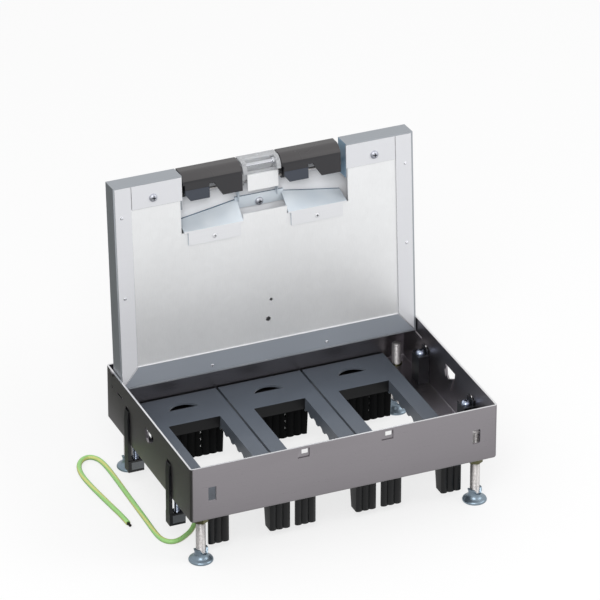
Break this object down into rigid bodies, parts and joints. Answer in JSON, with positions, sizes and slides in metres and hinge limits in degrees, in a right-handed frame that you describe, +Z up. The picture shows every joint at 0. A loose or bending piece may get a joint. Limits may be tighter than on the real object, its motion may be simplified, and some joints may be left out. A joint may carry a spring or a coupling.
{
  "type": "floor socket box",
  "caption": "Rectangular steel floor socket box with a hinged lid, cable flaps, three module supports, floor clamps, levelling legs and an earth wire.",
  "frame": {"origin": "on the floor under the middle of the tray, at the feet's lowest level", "axes": "+Z up, +X to the right, +Y towards the lid's hinge side"},
  "size_m": [0.2959, 0.1954, 0.2589],
  "materials": {
    "stainless_steel": "satin folded stainless sheet",
    "lid_border": "satin pale steel",
    "galvanised_sheet": "galvanised, soft spangle",
    "zinc_plate": "bright blue zinc plate",
    "plain_steel": "plain steel",
    "passivated_steel": "olive yellow passivated",
    "rod_steel": "rolled thread, zinc",
    "foot_zinc": "blue zinc",
    "flap_plastic": "moulded, fine texture",
    "clear_plastic": "moulded, clear grey",
    "support_plastic": "moulded, satin",
    "black_plastic": "moulded, satin",
    "tinned_copper": "tinned",
    "wire_green_yellow": "green and yellow insulation",
    "wire_end": "dark bare strands"
  },
  "bodies": {
    "tray": {"frame_tray": "stainless_steel", "hinge_pin_left": "stainless_steel", "hinge_pin_right": "stainless_steel", "module_support_left": "support_plastic", "module_support_centre": "support_plastic", "module_support_right": "support_plastic", "leg_bosses": "passivated_steel", "earth_stud": "zinc_plate", "earth_nut": "zinc_plate", "earth_lug": "tinned_copper", "earth_wire": "wire_green_yellow", "earth_wire_tip": "wire_end", "clamp_tower_front_left": "black_plastic", "clamp_tower_front_right": "black_plastic", "clamp_tower_rear_left": "black_plastic", "clamp_tower_rear_right": "black_plastic"},
    "lid": {"lid_cover": "stainless_steel", "lid_rim": "lid_border", "lid_panel": "galvanised_sheet", "lid_bracket": "zinc_plate", "flap_axle": "zinc_plate", "lid_screws": "zinc_plate", "lid_rivets": "zinc_plate"},
    "flap_left": {"cable_flap_left": "flap_plastic"},
    "flap_right": {"cable_flap_right": "flap_plastic"},
    "pull": {"finger_pull": "clear_plastic", "grip_rod": "zinc_plate", "pull_plate": "galvanised_sheet"},
    "screw_front_left": {"clamp_screw_front_left": "zinc_plate"},
    "claw_front_left": {"clamp_claw_front_left": "black_plastic", "clamp_nut_front_left": "plain_steel"},
    "foot_front_left": {"foot_pad_front_left": "foot_zinc"},
    "leg_front_left": {"leg_rod_front_left": "rod_steel"},
    "screw_front_right": {"clamp_screw_front_right": "zinc_plate"},
    "claw_front_right": {"clamp_claw_front_right": "black_plastic", "clamp_nut_front_right": "plain_steel"},
    "foot_front_right": {"foot_pad_front_right": "foot_zinc"},
    "leg_front_right": {"leg_rod_front_right": "rod_steel"},
    "screw_rear_left": {"clamp_screw_rear_left": "zinc_plate"},
    "claw_rear_left": {"clamp_claw_rear_left": "black_plastic", "clamp_nut_rear_left": "plain_steel"},
    "foot_rear_left": {"foot_pad_rear_left": "foot_zinc"},
    "leg_rear_left": {"leg_rod_rear_left": "rod_steel"},
    "screw_rear_right": {"clamp_screw_rear_right": "zinc_plate"},
    "claw_rear_right": {"clamp_claw_rear_right": "black_plastic", "clamp_nut_rear_right": "plain_steel"},
    "foot_rear_right": {"foot_pad_rear_right": "foot_zinc"},
    "leg_rear_right": {"leg_rod_rear_right": "rod_steel"}
  },
  "joints": [
    {"name": "lid_hinge", "type": "hinge", "parent": "tray", "child": "lid", "pos_m": [0, 0.079, 0.0902], "axis": [1, 0, 0], "range_deg": [0, 93.6]},
    {"name": "flap_left_hinge", "type": "hinge", "parent": "lid", "child": "flap_left", "pos_m": [0, 0.08536, 0.23744], "axis": [1, 0, 0], "range_deg": [0, 75]},
    {"name": "flap_right_hinge", "type": "hinge", "parent": "lid", "child": "flap_right", "pos_m": [0, 0.08536, 0.23744], "axis": [1, 0, 0], "range_deg": [0, 75]},
    {"name": "pull_hinge", "type": "hinge", "parent": "lid", "child": "pull", "pos_m": [0, 0.08536, 0.23744], "axis": [1, 0, 0], "range_deg": [0, 35], "stiffness_Nm_per_rad": 0.006, "springref_deg": -34.38},
    {"name": "clamp_turn_front_left", "type": "hinge", "parent": "tray", "child": "screw_front_left", "pos_m": [-0.1254, -0.045, 0.07], "axis": [0, 0, -1], "range_deg": [0, 5410]},
    {"name": "clamp_lift_front_left", "type": "slide", "parent": "tray", "child": "claw_front_left", "axis": [0, 0, 1], "range_m": [0, 0.012]},
    {"name": "foot_slide_front_left", "type": "slide", "parent": "tray", "child": "foot_front_left", "axis": [0, 0, 1], "range_m": [-0.01, 0.01]},
    {"name": "leg_turn_front_left", "type": "hinge", "parent": "foot_front_left", "child": "leg_front_left", "pos_m": [-0.1189, -0.0785, 0.03], "axis": [0, 0, 1], "range_deg": [-2890, 2890]},
    {"name": "clamp_turn_front_right", "type": "hinge", "parent": "tray", "child": "screw_front_right", "pos_m": [0.1254, -0.045, 0.07], "axis": [0, 0, -1], "range_deg": [0, 5410]},
    {"name": "clamp_lift_front_right", "type": "slide", "parent": "tray", "child": "claw_front_right", "axis": [0, 0, 1], "range_m": [0, 0.012]},
    {"name": "foot_slide_front_right", "type": "slide", "parent": "tray", "child": "foot_front_right", "axis": [0, 0, 1], "range_m": [-0.01, 0.01]},
    {"name": "leg_turn_front_right", "type": "hinge", "parent": "foot_front_right", "child": "leg_front_right", "pos_m": [0.1189, -0.0785, 0.03], "axis": [0, 0, 1], "range_deg": [-2890, 2890]},
    {"name": "clamp_turn_rear_left", "type": "hinge", "parent": "tray", "child": "screw_rear_left", "pos_m": [-0.1254, 0.045, 0.07], "axis": [0, 0, -1], "range_deg": [0, 5410]},
    {"name": "clamp_lift_rear_left", "type": "slide", "parent": "tray", "child": "claw_rear_left", "axis": [0, 0, 1], "range_m": [0, 0.012]},
    {"name": "foot_slide_rear_left", "type": "slide", "parent": "tray", "child": "foot_rear_left", "axis": [0, 0, 1], "range_m": [-0.01, 0.01]},
    {"name": "leg_turn_rear_left", "type": "hinge", "parent": "foot_rear_left", "child": "leg_rear_left", "pos_m": [-0.1189, 0.0785, 0.03], "axis": [0, 0, 1], "range_deg": [-2890, 2890]},
    {"name": "clamp_turn_rear_right", "type": "hinge", "parent": "tray", "child": "screw_rear_right", "pos_m": [0.1254, 0.045, 0.07], "axis": [0, 0, -1], "range_deg": [0, 5410]},
    {"name": "clamp_lift_rear_right", "type": "slide", "parent": "tray", "child": "claw_rear_right", "axis": [0, 0, 1], "range_m": [0, 0.012]},
    {"name": "foot_slide_rear_right", "type": "slide", "parent": "tray", "child": "foot_rear_right", "axis": [0, 0, 1], "range_m": [-0.01, 0.01]},
    {"name": "leg_turn_rear_right", "type": "hinge", "parent": "foot_rear_right", "child": "leg_rear_right", "pos_m": [0.1189, 0.0785, 0.03], "axis": [0, 0, 1], "range_deg": [-2890, 2890]}
  ],
  "couplings": [
    {"joint": "clamp_turn_front_left", "follows": "clamp_lift_front_left", "rad_per_m": 7854},
    {"joint": "leg_turn_front_left", "follows": "foot_slide_front_left", "rad_per_m": 5026.5},
    {"joint": "clamp_turn_front_right", "follows": "clamp_lift_front_right", "rad_per_m": 7854},
    {"joint": "leg_turn_front_right", "follows": "foot_slide_front_right", "rad_per_m": 5026.5},
    {"joint": "clamp_turn_rear_left", "follows": "clamp_lift_rear_left", "rad_per_m": 7854},
    {"joint": "leg_turn_rear_left", "follows": "foot_slide_rear_left", "rad_per_m": 5026.5},
    {"joint": "clamp_turn_rear_right", "follows": "clamp_lift_rear_right", "rad_per_m": 7854},
    {"joint": "leg_turn_rear_right", "follows": "foot_slide_rear_right", "rad_per_m": 5026.5}
  ]
}
